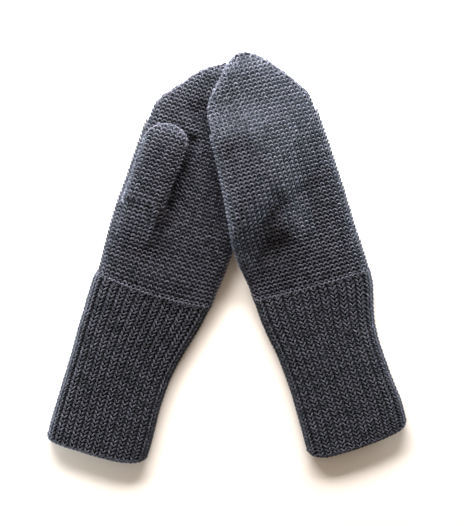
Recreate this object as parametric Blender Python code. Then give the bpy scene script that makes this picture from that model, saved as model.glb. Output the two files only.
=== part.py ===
"""A child's pair of knitted wool mittens, laid down with one across the other.

Each mitten has three knitted pieces: a ribbed cuff, a hand and a thumb. Every piece is a wall of cloth
round a flat hollow, made from rings of points. A ring lies across the mitten's axis. "Along" runs from
the middle of the cuff's mouth towards the finger tip, "across" runs to the right of the axis seen from
above, and Z is up. The tables are in millimetres and the meshes in metres.
"""

import math
from collections import namedtuple

import bmesh
import bpy
import numpy as np

MM = 0.001

# The cloth
CUFF_WALL = 3.0
HAND_WALL = 3.0
THUMB_WALL = 2.4
SEAM_GAP = 0.3
TOUCH_GAP = 0.4
RIBS_ACROSS = 13
RIB_DEPTH = 0.7
CUFF_COLOUR = (0.035, 0.034, 0.040, 1.0)
HAND_COLOUR = (0.052, 0.052, 0.062, 1.0)
THUMB_COLOUR = (0.048, 0.048, 0.057, 1.0)
WOOL_ROUGHNESS = 0.95

# The shape of a flattened tube of cloth
SIDE_HEIGHT = 0.45
CROWN = 2.6
SIDE_ROUND = 6.0
HAND_POINTS = (18, 16)
THUMB_POINTS = (14, 12)
CUFF_POINTS_BELOW = 8
POINTS_PER_RIB = 4
TOP_SAMPLES = 400

# The lines that the cuff's mouth and the seam between cuff and hand take across the mitten
MOUTH_REACH = 30.0
MOUTH_ROUND = 0.8
SEAM_REACH = 40.0

# Where the thumb joins the palm, as shares of the hand's half width and places along it
THUMB_HOLE_ALONG = (138.5, 149.5)
THUMB_HOLE_ACROSS = (-0.82, -0.30)
THUMB_BED = 0.85
PRESSED = 0.8

# How the upper mitten climbs over the lower one and over its own thumb
CLIMB_OUTSIDE = 22.0
CLIMB_INSIDE = 4.0
THUMB_CLIMB_START = (120.0, 158.0)
THUMB_CLIMB_END = (204.0, 230.0)
THUMB_CLIMB_SIDE = (-8.0, 16.0)

Edge = namedtuple("Edge", "along left right")
Height = namedtuple("Height", "along height")
ThumbRing = namedtuple("ThumbRing", "base_along top_along height centre half_width")
Dent = namedtuple("Dent", "along across reach_along reach_across depth")
Mouth = namedtuple("Mouth", "share pull")
Mitten = namedtuple(
    "Mitten",
    "name mouth_x mouth_y lean cuff_length length seam_bow mouth edges dents thumb_above thumb_gap",
)

LOWER_EDGES = (
    Edge(0.0, -38.6, 25.4),
    Edge(12.0, -39.2, 25.6),
    Edge(25.0, -39.4, 25.2),
    Edge(42.0, -39.5, 24.2),
    Edge(55.0, -39.6, 24.6),
    Edge(65.0, -40.0, 25.6),
    Edge(75.0, -40.4, 27.6),
    Edge(86.0, -40.5, 30.4),
    Edge(98.0, -40.7, 33.2),
    Edge(106.0, -40.6, 34.5),
    Edge(109.0, -39.9, 35.0),
    Edge(111.5, -38.6, 35.2),
    Edge(118.0, -38.8, 35.7),
    Edge(130.0, -39.6, 37.0),
    Edge(142.0, -40.1, 37.5),
    Edge(155.0, -40.2, 37.2),
    Edge(170.0, -39.4, 36.0),
    Edge(186.0, -38.9, 34.5),
    Edge(200.0, -38.6, 33.0),
    Edge(210.0, -37.9, 31.8),
    Edge(217.0, -36.7, 30.4),
    Edge(224.5, -34.2, 27.6),
    Edge(231.0, -29.4, 23.2),
    Edge(237.0, -24.4, 18.6),
    Edge(244.0, -19.2, 13.6),
    Edge(249.0, -14.6, 9.4),
    Edge(253.0, -9.6, 5.2),
    Edge(256.0, -4.6, 1.2),
)
UPPER_EDGES = (
    Edge(0.0, -28.4, 36.6),
    Edge(12.0, -28.6, 36.9),
    Edge(22.0, -28.6, 37.0),
    Edge(32.0, -28.7, 35.9),
    Edge(42.0, -28.8, 34.7),
    Edge(52.0, -29.4, 33.9),
    Edge(62.0, -30.3, 33.2),
    Edge(72.0, -31.5, 33.4),
    Edge(82.0, -33.6, 34.9),
    Edge(92.0, -35.2, 37.3),
    Edge(100.0, -35.9, 38.9),
    Edge(105.5, -36.2, 39.0),
    Edge(108.5, -36.3, 38.1),
    Edge(114.0, -36.5, 37.9),
    Edge(123.0, -37.9, 37.6),
    Edge(133.0, -39.6, 36.8),
    Edge(143.0, -40.2, 36.5),
    Edge(156.0, -39.0, 36.2),
    Edge(175.0, -37.4, 35.2),
    Edge(197.0, -36.3, 33.8),
    Edge(207.0, -36.1, 33.0),
    Edge(215.0, -35.6, 32.2),
    Edge(222.5, -34.4, 30.2),
    Edge(230.0, -32.6, 25.6),
    Edge(235.0, -29.8, 22.2),
    Edge(240.0, -25.6, 18.2),
    Edge(245.0, -21.2, 14.2),
    Edge(250.0, -16.8, 9.8),
    Edge(253.5, -13.4, 6.0),
    Edge(256.5, -9.4, 1.2),
)
LOWER_MOUTH = (
    Mouth(-1.0, 5.0),
    Mouth(-0.9, 1.2),
    Mouth(-0.6, 0.2),
    Mouth(0.0, 0.3),
    Mouth(0.45, 1.2),
    Mouth(0.7, 3.0),
    Mouth(0.88, 5.6),
    Mouth(1.0, 10.0),
)
UPPER_MOUTH = (
    Mouth(-1.0, 9.0),
    Mouth(-0.88, 4.0),
    Mouth(-0.6, 1.2),
    Mouth(-0.2, 1.4),
    Mouth(0.3, 2.8),
    Mouth(0.65, 4.6),
    Mouth(0.88, 7.0),
    Mouth(1.0, 11.5),
)
HEIGHTS = (
    Height(0.0, 7.6),
    Height(30.0, 7.4),
    Height(80.0, 7.6),
    Height(106.0, 8.6),
    Height(126.0, 9.2),
    Height(205.0, 9.2),
    Height(230.0, 8.4),
    Height(250.0, 7.2),
    Height(256.0, 5.4),
)
THUMB_RINGS = (
    ThumbRing(152.0, 136.0, 0.3, -23.2, 12.2),
    ThumbRing(153.5, 140.5, 2.2, -23.4, 12.6),
    ThumbRing(155.5, 145.5, 4.2, -23.6, 12.9),
    ThumbRing(158.0, 151.0, 5.8, -23.7, 13.1),
    ThumbRing(161.0, 157.0, 6.8, -23.8, 13.2),
    ThumbRing(165.0, 163.5, 7.2, -23.7, 13.2),
    ThumbRing(173.0, 173.0, 7.2, -23.4, 13.4),
    ThumbRing(183.0, 183.0, 7.2, -22.8, 13.9),
    ThumbRing(192.0, 192.0, 7.2, -22.3, 14.1),
    ThumbRing(199.0, 199.0, 7.0, -22.0, 13.7),
    ThumbRing(204.0, 204.0, 6.6, -21.6, 12.0),
    ThumbRing(207.8, 207.8, 6.0, -21.4, 8.8),
    ThumbRing(210.0, 210.0, 4.6, -21.4, 4.6),
)
THUMB_TIP = 210.8
THUMB_INNER_RINGS = 11
THUMB_INNER_TIP = 206.8
LOWER_DENTS = (
    Dent(129.0, -6.0, 15.0, 17.0, 1.3),
    Dent(167.0, -1.0, 22.0, 7.0, 0.9),
)
UPPER_DENTS = (
    Dent(138.0, -14.0, 12.0, 22.0, 1.2),
    Dent(112.0, -16.0, 10.0, 12.0, 0.7),
)
LOWER = Mitten(
    name="left",
    mouth_x=-76.6,
    mouth_y=-125.6,
    lean=17.4,
    cuff_length=109.0,
    length=257.2,
    seam_bow=-3.0,
    mouth=LOWER_MOUTH,
    edges=LOWER_EDGES,
    dents=LOWER_DENTS,
    thumb_above=True,
    thumb_gap=SEAM_GAP,
)
UPPER = Mitten(
    name="right",
    mouth_x=79.3,
    mouth_y=-120.9,
    lean=-15.0,
    cuff_length=106.0,
    length=258.0,
    seam_bow=-0.8,
    mouth=UPPER_MOUTH,
    edges=UPPER_EDGES,
    dents=UPPER_DENTS,
    thumb_above=False,
    thumb_gap=0.8,
)

HAND_STATIONS = (
    112.5, 119.5, 126.0, 132.5, 138.5, 144.0, 149.5, 155.5, 162.0, 170.0, 178.0, 186.0,
    194.0, 202.0, 209.0, 215.5, 221.5, 227.0, 232.5, 238.0, 243.5, 248.5, 252.5, 255.5,
)
HAND_INNER_RINGS = 23
INNER_TIP_SETBACK = 3.4
CUFF_STATIONS = (0.0, 1.2, 12.0, 26.0, 42.0, 58.0, 74.0, 90.0)


def smooth(rows, column, place):
    """A column of a table read at any place in its first column, on a curve that never overshoots."""
    x = np.array([row[0] for row in rows])
    y = np.array([getattr(row, column) for row in rows])
    rise = np.diff(y) / np.diff(x)
    before, after = rise[:-1], rise[1:]
    same_way = before * after > 0
    between = np.where(same_way, 2 * before * after / np.where(same_way, before + after, 1.0), 0.0)
    slope = np.concatenate([rise[:1], between, rise[-1:]])
    place = np.clip(np.asarray(place, float), x[0], x[-1])
    i = np.clip(np.searchsorted(x, place) - 1, 0, len(x) - 2)
    span = x[i + 1] - x[i]
    t = (place - x[i]) / span
    value = (2 * t**3 - 3 * t**2 + 1) * y[i] + (3 * t**2 - 2 * t**3) * y[i + 1]
    return value + span * ((t**3 - 2 * t**2 + t) * slope[i] + (t**3 - t**2) * slope[i + 1])


def ease(value):
    """0 below 0, 1 above 1, and a smooth climb between."""
    t = np.clip(value, 0.0, 1.0)
    return t * t * (3 - 2 * t)


def edges_at(mitten, along):
    """The centre and half width of the mitten at a place along it."""
    left = smooth(mitten.edges, "left", along)
    right = smooth(mitten.edges, "right", along)
    return (left + right) / 2, (right - left) / 2


def on_floor(mitten, along, across):
    """The X and Y of a place on the mitten."""
    lean = math.radians(mitten.lean)
    x = mitten.mouth_x + along * math.sin(lean) + across * math.cos(lean)
    y = mitten.mouth_y + along * math.cos(lean) - across * math.sin(lean)
    return x, y


def along_lower(x, y):
    """The place along the lower mitten that lies at an X and Y."""
    lean = math.radians(LOWER.lean)
    return (x - LOWER.mouth_x) * math.sin(lean) + (y - LOWER.mouth_y) * math.cos(lean)


def crown(share):
    """Height of the upper face, from 0 at the side fold to 1 in the middle."""
    return np.sqrt(np.maximum(0.0, 1 - np.abs(share) ** CROWN))


def flat_section(share, upper, half, height):
    """Height of a flattened tube's outline at a share of its half width. It is flat below."""
    side = SIDE_HEIGHT * height
    flat = np.maximum(0.0, 1 - SIDE_ROUND / half)
    past = np.clip((np.abs(share) - flat) / (1 - flat), 0.0, 1.0)
    below = side * (1 - np.sqrt(1 - past**2))
    return np.where(upper, side + (height - side) * crown(share), below)


def round_shares(on_top, below):
    """Shares of the half width round a ring: right to left on top, then back below."""
    over = np.cos(np.pi * np.arange(on_top + 1) / on_top)
    under = -np.cos(np.pi * np.arange(1, below) / below)
    share = np.concatenate([over, under])
    return share, np.arange(len(share)) <= on_top


def lower_outline():
    """The lower mitten's outline on the floor, as a closed line of points."""
    along = np.linspace(0.0, LOWER.edges[-1].along, 90)
    left = on_floor(LOWER, along, smooth(LOWER.edges, "left", along))
    right = on_floor(LOWER, along, smooth(LOWER.edges, "right", along))
    tip = on_floor(LOWER, LOWER.length, edges_at(LOWER, LOWER.edges[-1].along)[0])
    x = np.concatenate([left[0], [tip[0]], right[0][::-1]])
    y = np.concatenate([left[1], [tip[1]], right[1][::-1]])
    return np.stack([x, y], axis=1)


def inside_lower(x, y):
    """How far inside the lower mitten's outline a place lies. It is negative outside."""
    outline = lower_outline()
    start, end = outline, np.roll(outline, -1, axis=0)
    point = np.stack([np.ravel(x), np.ravel(y)], axis=1)[:, None, :]
    run = end - start
    t = ((point - start) * run).sum(-1) / np.maximum((run**2).sum(-1), 1e-12)
    nearest = start + np.clip(t, 0, 1)[..., None] * run
    distance = np.linalg.norm(point - nearest, axis=-1).min(axis=1)
    crosses = (start[:, 1] > point[..., 1]) != (end[:, 1] > point[..., 1])
    rise = np.where(run[:, 1] == 0, 1e-12, run[:, 1])
    reach = start[:, 0] + (point[..., 1] - start[:, 1]) / rise * run[:, 0]
    inside = (crosses & (point[..., 0] < reach)).sum(axis=1) % 2 == 1
    return np.where(inside, distance, -distance).reshape(np.shape(x))


def lift(mitten, along, across):
    """How high above the floor the underside of a mitten's hand or cuff lies."""
    if mitten.thumb_above:
        return np.zeros(np.shape(across))
    x, y = on_floor(mitten, along, across)
    climb = ease((inside_lower(x, y) + CLIMB_OUTSIDE) / (CLIMB_OUTSIDE + CLIMB_INSIDE))
    over_lower = (smooth(HEIGHTS, "height", along_lower(x, y)) + TOUCH_GAP) * climb
    start, end, side = THUMB_CLIMB_START, THUMB_CLIMB_END, THUMB_CLIMB_SIDE
    over_thumb = ease((along - start[0]) / (start[1] - start[0]))
    over_thumb = over_thumb * ease((end[1] - along) / (end[1] - end[0]))
    over_thumb = over_thumb * ease((side[1] - across) / (side[1] - side[0]))
    thumb_room = PRESSED * max(ring.height for ring in THUMB_RINGS) + mitten.thumb_gap + TOUCH_GAP
    return over_lower + thumb_room * over_thumb


def dent(mitten, along, across):
    """How far the upper face sinks into the mitten's soft hollows."""
    depth = np.zeros(np.shape(across))
    for hollow in mitten.dents:
        u = (along - hollow.along) / hollow.reach_along
        v = (across - hollow.across) / hollow.reach_across
        depth = depth + hollow.depth * ease(1 - np.sqrt(u * u + v * v))
    return depth


def ring_points(mitten, station, share, upper, inset, height_inset, relief=None):
    """One ring of a cuff or hand. The inset moves it inwards from the cloth's outer face."""
    centre, half = edges_at(mitten, station)
    half = half - inset
    height = smooth(HEIGHTS, "height", station) - 2 * height_inset
    z = height_inset + flat_section(share, upper, half, height)
    across = centre + share * half
    if relief is not None:
        step_across = np.gradient(across)
        step_up = np.gradient(z)
        length = np.hypot(step_across, step_up)
        across = across + relief * step_up / length
        z = z - relief * step_across / length
    near_mouth = max(0.0, 1 - station / MOUTH_REACH) ** 2
    near_seam = max(0.0, 1 - abs(station - mitten.cuff_length) / SEAM_REACH) ** 2
    bow = mitten.seam_bow * (1 - share**2)
    along = station + near_mouth * smooth(mitten.mouth, "pull", share) + near_seam * bow
    z = z - np.where(upper, dent(mitten, along, across) * crown(share), 0.0)
    z = z + lift(mitten, along, across)
    x, y = on_floor(mitten, along, across)
    return np.stack([x, y, z], axis=1)


def tip_point(mitten, setback):
    """The point that closes a hand's finger tip."""
    last = mitten.edges[-1].along
    centre = edges_at(mitten, last)[0]
    along = mitten.length - setback
    x, y = on_floor(mitten, along, centre)
    middle = smooth(HEIGHTS, "height", last) / 2
    if setback:
        middle = smooth(HEIGHTS, "height", along) / 2
    return np.array([x, y, middle + float(lift(mitten, np.array([along]), np.array([centre]))[0])])


def rib_shares(half, height):
    """Shares evenly spaced over the upper face, four to a rib, with wider steps below."""
    dense = np.cos(np.pi * np.arange(TOP_SAMPLES + 1) / TOP_SAMPLES)
    z = flat_section(dense, True, half, height)
    length = np.concatenate([[0], np.cumsum(np.hypot(np.diff(dense * half), np.diff(z)))])
    count = RIBS_ACROSS * POINTS_PER_RIB
    top = np.interp(np.linspace(0, length[-1], count + 1), length, dense)
    below = -np.cos(np.pi * np.arange(1, CUFF_POINTS_BELOW) / CUFF_POINTS_BELOW)
    share = np.concatenate([top, below])
    upper = np.arange(len(share)) <= count
    phase = np.where(upper, np.arange(len(share)) / POINTS_PER_RIB, 0.0)
    groove = np.where(upper, 0.5 + 0.5 * np.cos(2 * np.pi * phase), 0.0)
    return share, upper, -RIB_DEPTH * groove


def add_rings(bm, rings):
    """The rings' points as vertices, ring by ring."""
    return [[bm.verts.new(point * MM) for point in ring] for ring in rings]


def skin(bm, rings, hole=None):
    """Quads between neighbouring rings, leaving out the faces of the hole."""
    for i in range(len(rings) - 1):
        for j in range(len(rings[i])):
            if hole and hole[0] <= i < hole[1] and hole[2] <= j < hole[3]:
                continue
            k = (j + 1) % len(rings[i])
            bm.faces.new((rings[i][j], rings[i][k], rings[i + 1][k], rings[i + 1][j]))


def join_rings(bm, outer, inner):
    """The cut edge of the cloth, from the outer face to the inner one."""
    for j in range(len(outer)):
        k = (j + 1) % len(outer)
        bm.faces.new((outer[j], outer[k], inner[k], inner[j]))


def close_tip(bm, ring, point):
    """Triangles from the last ring to the point of a tip."""
    tip = bm.verts.new(point * MM)
    for j in range(len(ring)):
        bm.faces.new((ring[j], ring[(j + 1) % len(ring)], tip))


def hem_hole(bm, outer, inner, hole):
    """The cut edge round a hole, from the outer face to the inner one."""
    first, last, start, end = hole
    loop = [(first, j) for j in range(start, end)] + [(i, end) for i in range(first, last)]
    loop += [(last, j) for j in range(end, start, -1)] + [(i, start) for i in range(last, first, -1)]
    for (i, j), (m, n) in zip(loop, loop[1:] + loop[:1]):
        bm.faces.new((outer[i][j], outer[m][n], inner[m][n], inner[i][j]))


def finish(bm, name, colour):
    """The object of a finished piece, with its own wool."""
    bmesh.ops.recalc_face_normals(bm, faces=bm.faces)
    mesh = bpy.data.meshes.new(name)
    bm.to_mesh(mesh)
    bm.free()
    mesh.shade_smooth()
    wool = bpy.data.materials.new(name + "_wool")
    wool.use_nodes = True
    shader = wool.node_tree.nodes["Principled BSDF"]
    shader.inputs["Base Color"].default_value = colour
    shader.inputs["Roughness"].default_value = WOOL_ROUGHNESS
    shader.inputs["Metallic"].default_value = 0.0
    mesh.materials.append(wool)
    piece = bpy.data.objects.new(name, mesh)
    bpy.context.scene.collection.objects.link(piece)
    return piece


def make_cuff(mitten):
    """The ribbed cuff, open at both ends, with ribs raised on its upper face."""
    outer, inner = [], []
    for station in CUFF_STATIONS + (mitten.cuff_length - SEAM_GAP,):
        centre, half = edges_at(mitten, station)
        height = smooth(HEIGHTS, "height", station)
        share, upper, relief = rib_shares(half, height)
        rounding = MOUTH_ROUND if station == 0 else 0.0
        outer.append(ring_points(mitten, station, share, upper, rounding, rounding, relief))
        inner.append(ring_points(mitten, station, share, upper, CUFF_WALL, CUFF_WALL))
    bm = bmesh.new()
    outside, inside = add_rings(bm, outer), add_rings(bm, inner)
    skin(bm, outside)
    skin(bm, inside)
    join_rings(bm, outside[0], inside[0])
    join_rings(bm, outside[-1], inside[-1])
    return finish(bm, mitten.name + "_cuff", CUFF_COLOUR)


def thumb_hole(mitten, share, upper):
    """The first and last ring and point of the hole that leads into the thumb."""
    stations = (mitten.cuff_length,) + HAND_STATIONS
    first = stations.index(THUMB_HOLE_ALONG[0])
    last = stations.index(THUMB_HOLE_ALONG[1])
    low, high = THUMB_HOLE_ACROSS
    face = upper if mitten.thumb_above else ~upper
    found = np.nonzero(face & (share > low) & (share < high))[0]
    return first, last, int(found[0]), int(found[-1])


def make_hand(mitten):
    """The hand: open to the cuff, closed at the finger tip, with a hole into the thumb."""
    share, upper = round_shares(*HAND_POINTS)
    stations = (mitten.cuff_length,) + HAND_STATIONS
    outer = [ring_points(mitten, s, share, upper, 0.0, 0.0) for s in stations]
    inner = [
        ring_points(mitten, s, share, upper, HAND_WALL, HAND_WALL) for s in stations[:HAND_INNER_RINGS]
    ]
    hole = thumb_hole(mitten, share, upper)
    bm = bmesh.new()
    outside, inside = add_rings(bm, outer), add_rings(bm, inner)
    skin(bm, outside, hole)
    skin(bm, inside, hole)
    hem_hole(bm, outside, inside, hole)
    join_rings(bm, outside[0], inside[0])
    close_tip(bm, outside[-1], tip_point(mitten, 0.0))
    close_tip(bm, inside[-1], tip_point(mitten, INNER_TIP_SETBACK))
    return finish(bm, mitten.name + "_hand", HAND_COLOUR)


def palm(mitten, along, across):
    """Height of the face that the thumb lies on, held level past the edge of its bed."""
    centre, half = edges_at(mitten, along)
    share = np.clip((across - centre) / half, -THUMB_BED, THUMB_BED)
    bed = centre + share * half
    if not mitten.thumb_above:
        return lift(mitten, along, bed)
    height = smooth(HEIGHTS, "height", along)
    return flat_section(share, True, half, height) - dent(mitten, along, bed) * crown(share)


def thumb_points(mitten, ring, share, upper, wall):
    """One ring of a thumb, lying on the palm or hanging under it."""
    press = 1.0 if mitten.thumb_above else PRESSED
    away = 1.0 if mitten.thumb_above else -1.0
    rise = ring.height * press
    span = math.hypot(ring.base_along - ring.top_along, rise)
    half = ring.half_width - wall
    level = wall + flat_section(share, upper, half, span - 2 * wall)
    along = ring.base_along + (ring.top_along - ring.base_along) * level / span
    across = ring.centre + share * half
    bed = palm(mitten, along, across)
    z = bed + away * (mitten.thumb_gap + level / span * rise)
    x, y = on_floor(mitten, along, across)
    return np.stack([x, y, z], axis=1)


def make_thumb(mitten):
    """The thumb: a tube closed at its tip, open to the hole in the palm."""
    share, upper = round_shares(*THUMB_POINTS)
    rings = THUMB_RINGS
    outer = [thumb_points(mitten, ring, share, upper, 0.0) for ring in rings]
    inner = [
        thumb_points(mitten, ring, share, upper, THUMB_WALL) for ring in rings[:THUMB_INNER_RINGS]
    ]
    bm = bmesh.new()
    outside, inside = add_rings(bm, outer), add_rings(bm, inner)
    skin(bm, outside)
    skin(bm, inside)
    join_rings(bm, outside[0], inside[0])
    for ring, along in ((outer[-1], THUMB_TIP), (inner[-1], THUMB_INNER_TIP)):
        x, y = on_floor(mitten, along, rings[-1].centre)
        loop = outside[-1] if ring is outer[-1] else inside[-1]
        close_tip(bm, loop, np.array([x, y, ring[:, 2].mean()]))
    return finish(bm, mitten.name + "_thumb", THUMB_COLOUR)


def main():
    for old in list(bpy.data.objects):
        bpy.data.objects.remove(old)
    for mitten in (LOWER, UPPER):
        make_cuff(mitten)
        make_hand(mitten)
        make_thumb(mitten)


main()
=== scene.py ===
import math
from collections import namedtuple

import bpy
import numpy as np
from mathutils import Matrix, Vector


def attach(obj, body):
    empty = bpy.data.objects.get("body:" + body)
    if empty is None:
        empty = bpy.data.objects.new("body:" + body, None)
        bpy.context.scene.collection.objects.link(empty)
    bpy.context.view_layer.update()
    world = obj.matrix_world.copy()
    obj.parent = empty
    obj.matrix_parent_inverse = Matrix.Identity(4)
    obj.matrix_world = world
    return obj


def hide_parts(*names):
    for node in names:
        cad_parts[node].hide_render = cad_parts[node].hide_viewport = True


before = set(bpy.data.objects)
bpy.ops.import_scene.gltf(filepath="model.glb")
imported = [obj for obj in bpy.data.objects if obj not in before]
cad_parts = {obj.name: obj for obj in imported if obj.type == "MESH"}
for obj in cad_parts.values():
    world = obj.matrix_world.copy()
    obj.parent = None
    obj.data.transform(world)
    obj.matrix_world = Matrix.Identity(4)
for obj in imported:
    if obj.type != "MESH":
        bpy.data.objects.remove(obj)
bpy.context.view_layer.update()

# A child's pair of charcoal heather mittens, laid down with the right one across the left one.
# Each tube of cloth is a thin shell, and the knitting on it is real yarn, stitch by stitch. The
# shell is painted far darker than the yarn, as painted shade in the gaps between the stitches.
# "Along" runs from the cuff's mouth to the finger tip and "across" to the right. A share is a
# part of the half width. Tables are in millimetres, as the part's own are, and meshes in metres.

BODY = "root"
MM = 0.001
TINY = 1e-12

# The tubes of cloth, as in the solids
SIDE_HEIGHT = 0.45
CROWN = 2.6
SIDE_ROUND = 6.0
FULLNESS = 0.7
LEAST_HALF = 0.6
LEAST_HEIGHT = 0.4
MOUTH_REACH = 30.0
SEAM_REACH = 40.0
SEAM_GAP = 0.3
TOUCH_GAP = 0.4
THUMB_BED = 0.85
OUTLINE_POINTS = 90

# Where the cloth climbs, from its first number to its second
LOWER_CLIMB = (-22.0, 4.0)
THUMB_CLIMB_START = (120.0, 158.0)
THUMB_CLIMB_END = (230.0, 204.0)
THUMB_CLIMB_SIDE = (16.0, -8.0)
ROOT_START = (128.0, 160.0)
ROOT_END = (176.0, 163.0)
ROOT_SIDE = (1.16, 0.80)

# How the lifted hand's top spans the hollow beside what lies under it
SPAN_START = 0.8
SPAN_BOW = 1.6
SPAN_FADE = 30.0

Edge = namedtuple("Edge", "along left right")
Mouth = namedtuple("Mouth", "share pull")
Height = namedtuple("Height", "along height")
ThumbRing = namedtuple("ThumbRing", "top_along base_along height centre half_width")
Dent = namedtuple("Dent", "along across reach_along reach_across depth")
Fold = namedtuple("Fold", "along across end_along end_across reach depth")
Bank = namedtuple("Bank", "along across end_along end_across reach height back")
Skin = namedtuple("Skin", "side above below")
Places = namedtuple("Places", "point normal along cell shade")
Mitten = namedtuple(
    "Mitten",
    "name seed mouth_x mouth_y lean cuff_length length seam_bow mouth edges dents folds banks "
    "hand_rests_on thumb_above thumb_gap thumb_press thumb_skipped_rows",
)


def table(kind, *rows):
    """Rows of numbers under the names of a kind of tuple."""
    return [kind(*row) for row in rows]


LOWER_EDGES = table(
    Edge,
    (0.0, -38.6, 25.4), (12.0, -39.2, 25.6), (25.0, -39.4, 25.2), (42.0, -39.5, 24.2),
    (55.0, -39.6, 24.6), (65.0, -40.0, 25.6), (75.0, -40.4, 27.6), (86.0, -40.5, 30.4),
    (98.0, -40.7, 33.2), (106.0, -40.6, 34.5), (109.0, -39.9, 35.0), (111.5, -38.6, 35.2),
    (118.0, -38.8, 35.7), (130.0, -39.6, 37.0), (142.0, -40.1, 37.5), (155.0, -40.2, 37.2),
    (170.0, -39.4, 36.0), (186.0, -38.9, 34.5), (200.0, -38.6, 33.0), (210.0, -37.9, 31.8),
    (217.0, -36.7, 30.4), (224.5, -34.2, 27.6), (231.0, -29.4, 23.2), (237.0, -24.4, 18.6),
    (244.0, -19.2, 13.6), (249.0, -14.6, 9.4), (253.0, -9.6, 5.2), (256.0, -4.6, 1.2),
)
UPPER_EDGES = table(
    Edge,
    (0.0, -28.4, 36.6), (12.0, -28.6, 36.9), (22.0, -28.6, 37.0), (32.0, -28.7, 35.9),
    (42.0, -28.8, 34.7), (52.0, -29.4, 33.9), (62.0, -30.3, 33.2), (72.0, -31.5, 33.4),
    (82.0, -33.6, 34.9), (92.0, -35.2, 37.3), (100.0, -35.9, 38.9), (105.5, -36.2, 39.0),
    (108.5, -36.3, 38.1), (114.0, -36.5, 37.9), (123.0, -37.9, 37.6), (133.0, -39.6, 36.8),
    (143.0, -40.2, 36.5), (156.0, -39.0, 36.2), (175.0, -37.4, 35.2), (197.0, -36.3, 33.8),
    (207.0, -36.1, 33.0), (215.0, -35.6, 32.2), (222.5, -34.4, 30.2), (230.0, -32.6, 25.6),
    (235.0, -29.8, 22.2), (240.0, -25.6, 18.2), (245.0, -21.2, 14.2), (250.0, -16.8, 9.8),
    (253.5, -13.4, 6.0), (256.5, -9.4, 1.2),
)
LOWER_MOUTH = table(
    Mouth,
    (-1.0, 5.0), (-0.9, 1.2), (-0.6, 0.2), (0.0, 0.3), (0.45, 1.2), (0.7, 3.0), (0.88, 5.6),
    (1.0, 10.0),
)
UPPER_MOUTH = table(
    Mouth,
    (-1.0, 9.0), (-0.88, 4.0), (-0.6, 1.2), (-0.2, 1.4), (0.3, 2.8), (0.65, 4.6), (0.88, 7.0),
    (1.0, 11.5),
)
HEIGHTS = table(
    Height,
    (0.0, 7.6), (30.0, 7.4), (80.0, 7.6), (106.0, 8.6), (126.0, 9.2), (205.0, 9.2), (230.0, 8.4),
    (250.0, 7.2), (256.0, 5.4),
)
THUMB_RINGS = table(
    ThumbRing,
    (152.0, 136.0, 0.3, -23.2, 12.2), (153.5, 140.5, 2.2, -23.4, 12.6),
    (155.5, 145.5, 4.2, -23.6, 12.9), (158.0, 151.0, 5.8, -23.7, 13.1),
    (161.0, 157.0, 6.8, -23.8, 13.2), (165.0, 163.5, 7.2, -23.7, 13.2),
    (173.0, 173.0, 7.2, -23.4, 13.4), (183.0, 183.0, 7.2, -22.8, 13.9),
    (192.0, 192.0, 7.2, -22.3, 14.1), (199.0, 199.0, 7.0, -22.0, 13.7),
    (204.0, 204.0, 6.6, -21.6, 12.0), (207.8, 207.8, 6.0, -21.4, 8.8),
    (210.0, 210.0, 4.6, -21.4, 4.6),
)
THUMB_HEIGHT = max(ring.height for ring in THUMB_RINGS)
THUMB_TIP = 210.8
LOWER = Mitten(
    name="left",
    seed=100,
    mouth_x=-76.6,
    mouth_y=-125.6,
    lean=17.4,
    cuff_length=109.0,
    length=257.2,
    seam_bow=-3.0,
    mouth=LOWER_MOUTH,
    edges=LOWER_EDGES,
    dents=(Dent(129.0, -6.0, 15.0, 17.0, 1.3), Dent(167.0, -1.0, 22.0, 7.0, 0.9)),
    folds=(
        Fold(162.0, -9.2, 205.0, -6.6, 7.0, 3.6),
        Fold(224.0, -7.0, 166.0, 30.0, 10.0, 2.4),
        Fold(150.0, -6.0, 163.0, -9.0, 5.0, 1.4),
        Fold(211.0, -24.0, 207.0, -12.0, 4.0, 1.2),
    ),
    banks=(),
    hand_rests_on=["floor"],
    thumb_above=True,
    thumb_gap=0.3,
    thumb_press=1.0,
    thumb_skipped_rows=20,
)
UPPER = Mitten(
    name="right",
    seed=200,
    mouth_x=79.3,
    mouth_y=-120.9,
    lean=-15.0,
    cuff_length=106.0,
    length=258.0,
    seam_bow=-0.8,
    mouth=UPPER_MOUTH,
    edges=UPPER_EDGES,
    dents=(Dent(112.0, -16.0, 10.0, 12.0, 0.7),),
    folds=(
        Fold(163.0, -6.0, 142.0, -36.0, 9.0, 2.4),
        Fold(224.0, -24.0, 212.0, -30.0, 14.0, -1.6),
        Fold(138.0, -34.0, 136.0, -12.0, 14.0, 2.6),
    ),
    banks=(Bank(163.0, 2.0, 142.0, -40.0, 11.0, 4.4, 36.0),),
    hand_rests_on=["left_hand", "floor"],
    thumb_above=False,
    thumb_gap=0.8,
    thumb_press=0.8,
    thumb_skipped_rows=17,
)

# The knitting: a stitch's cell, and where its rows and columns lie
STITCH_WIDTH = 3.2
ROW_HEIGHT = 2.52
RIB_ROW_HEIGHT = 2.72
CELL_LIMITS = (0.6, 1.5)
HAND_COLUMNS = 25
THUMB_COLUMNS = 9
RIBS_ROUND = 27
EVEN_UNTIL = 205.0
THUMB_EVEN_UNTIL = 192.0
FACE_MARGIN = 0.35
FIRST_ROW = 1.6
RIB_FIRST_ROW = 1.4
TIP_MARGIN = 1.0
THUMB_TIP_MARGIN = 1.5
CUFF_END_MARGIN = 0.8
YARN_LAY = Skin(-0.1, 0.4, 1.35)
RIB_LAY = Skin(0.4, 0.2, 1.3)
PURL_LAY = Skin(0.9, 1.35, 2.2)
SEAM_LAY = Skin(0.6, 0.15, 1.5)
THUMB_LAY = 0.2
SHADE = 0.5
RIB_STITCH_SHARE = 0.80
# Painted shade: the purl bars in the valleys between the ribs get a low shade, so their yarn is
# painted darker.
PURL = dict(skin=PURL_LAY, shift=0.5, width_share=0.75, shade=0.15)

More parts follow.
